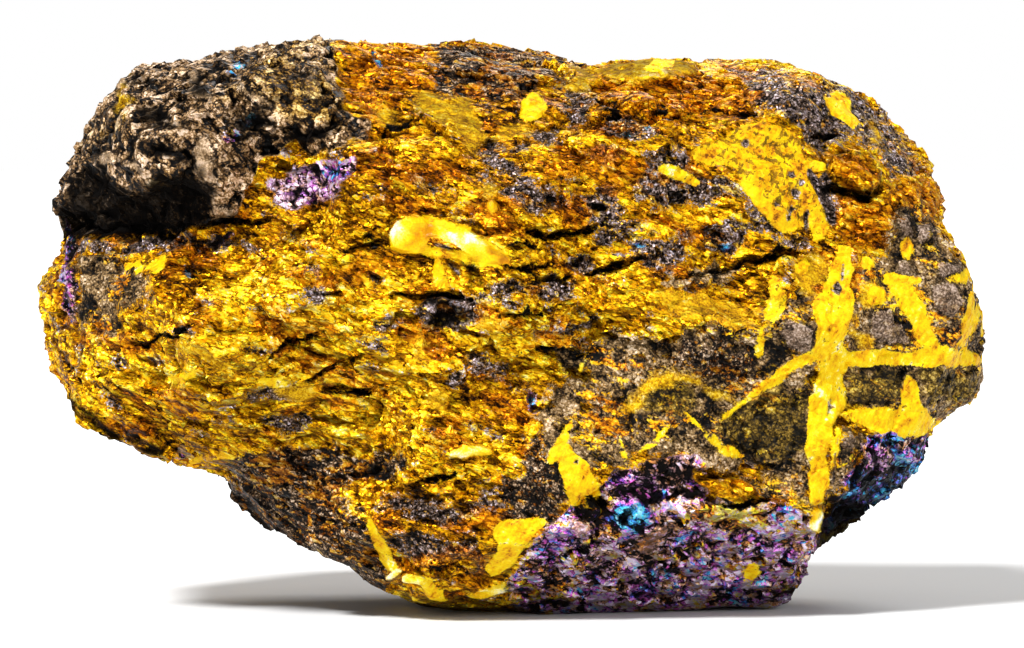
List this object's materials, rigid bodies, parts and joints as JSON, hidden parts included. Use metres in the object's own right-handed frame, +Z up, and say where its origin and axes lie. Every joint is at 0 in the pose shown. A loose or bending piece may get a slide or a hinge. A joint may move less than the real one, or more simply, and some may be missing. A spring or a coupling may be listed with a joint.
{
  "type": "chalcopyrite lump",
  "caption": "Hand-sized lump of massive chalcopyrite ore with broken brassy faces, dark matrix and bornite tarnish, standing on a flat foot.",
  "frame": {"origin": "middle of the bounding box's bottom, on the surface that the lump stands on", "axes": "+X to the right along the lump's width, -Y towards the viewer of the broken face, +Z up"},
  "size_m": [0.11, 0.0552, 0.0661],
  "materials": {
    "chalcopyrite_ore": "hackly brassy ore, bright on broken facets, with dull grey matrix and purple tarnish"
  },
  "bodies": {
    "root": {"chalcopyrite_lump": "chalcopyrite_ore"}
  },
  "joints": []
}
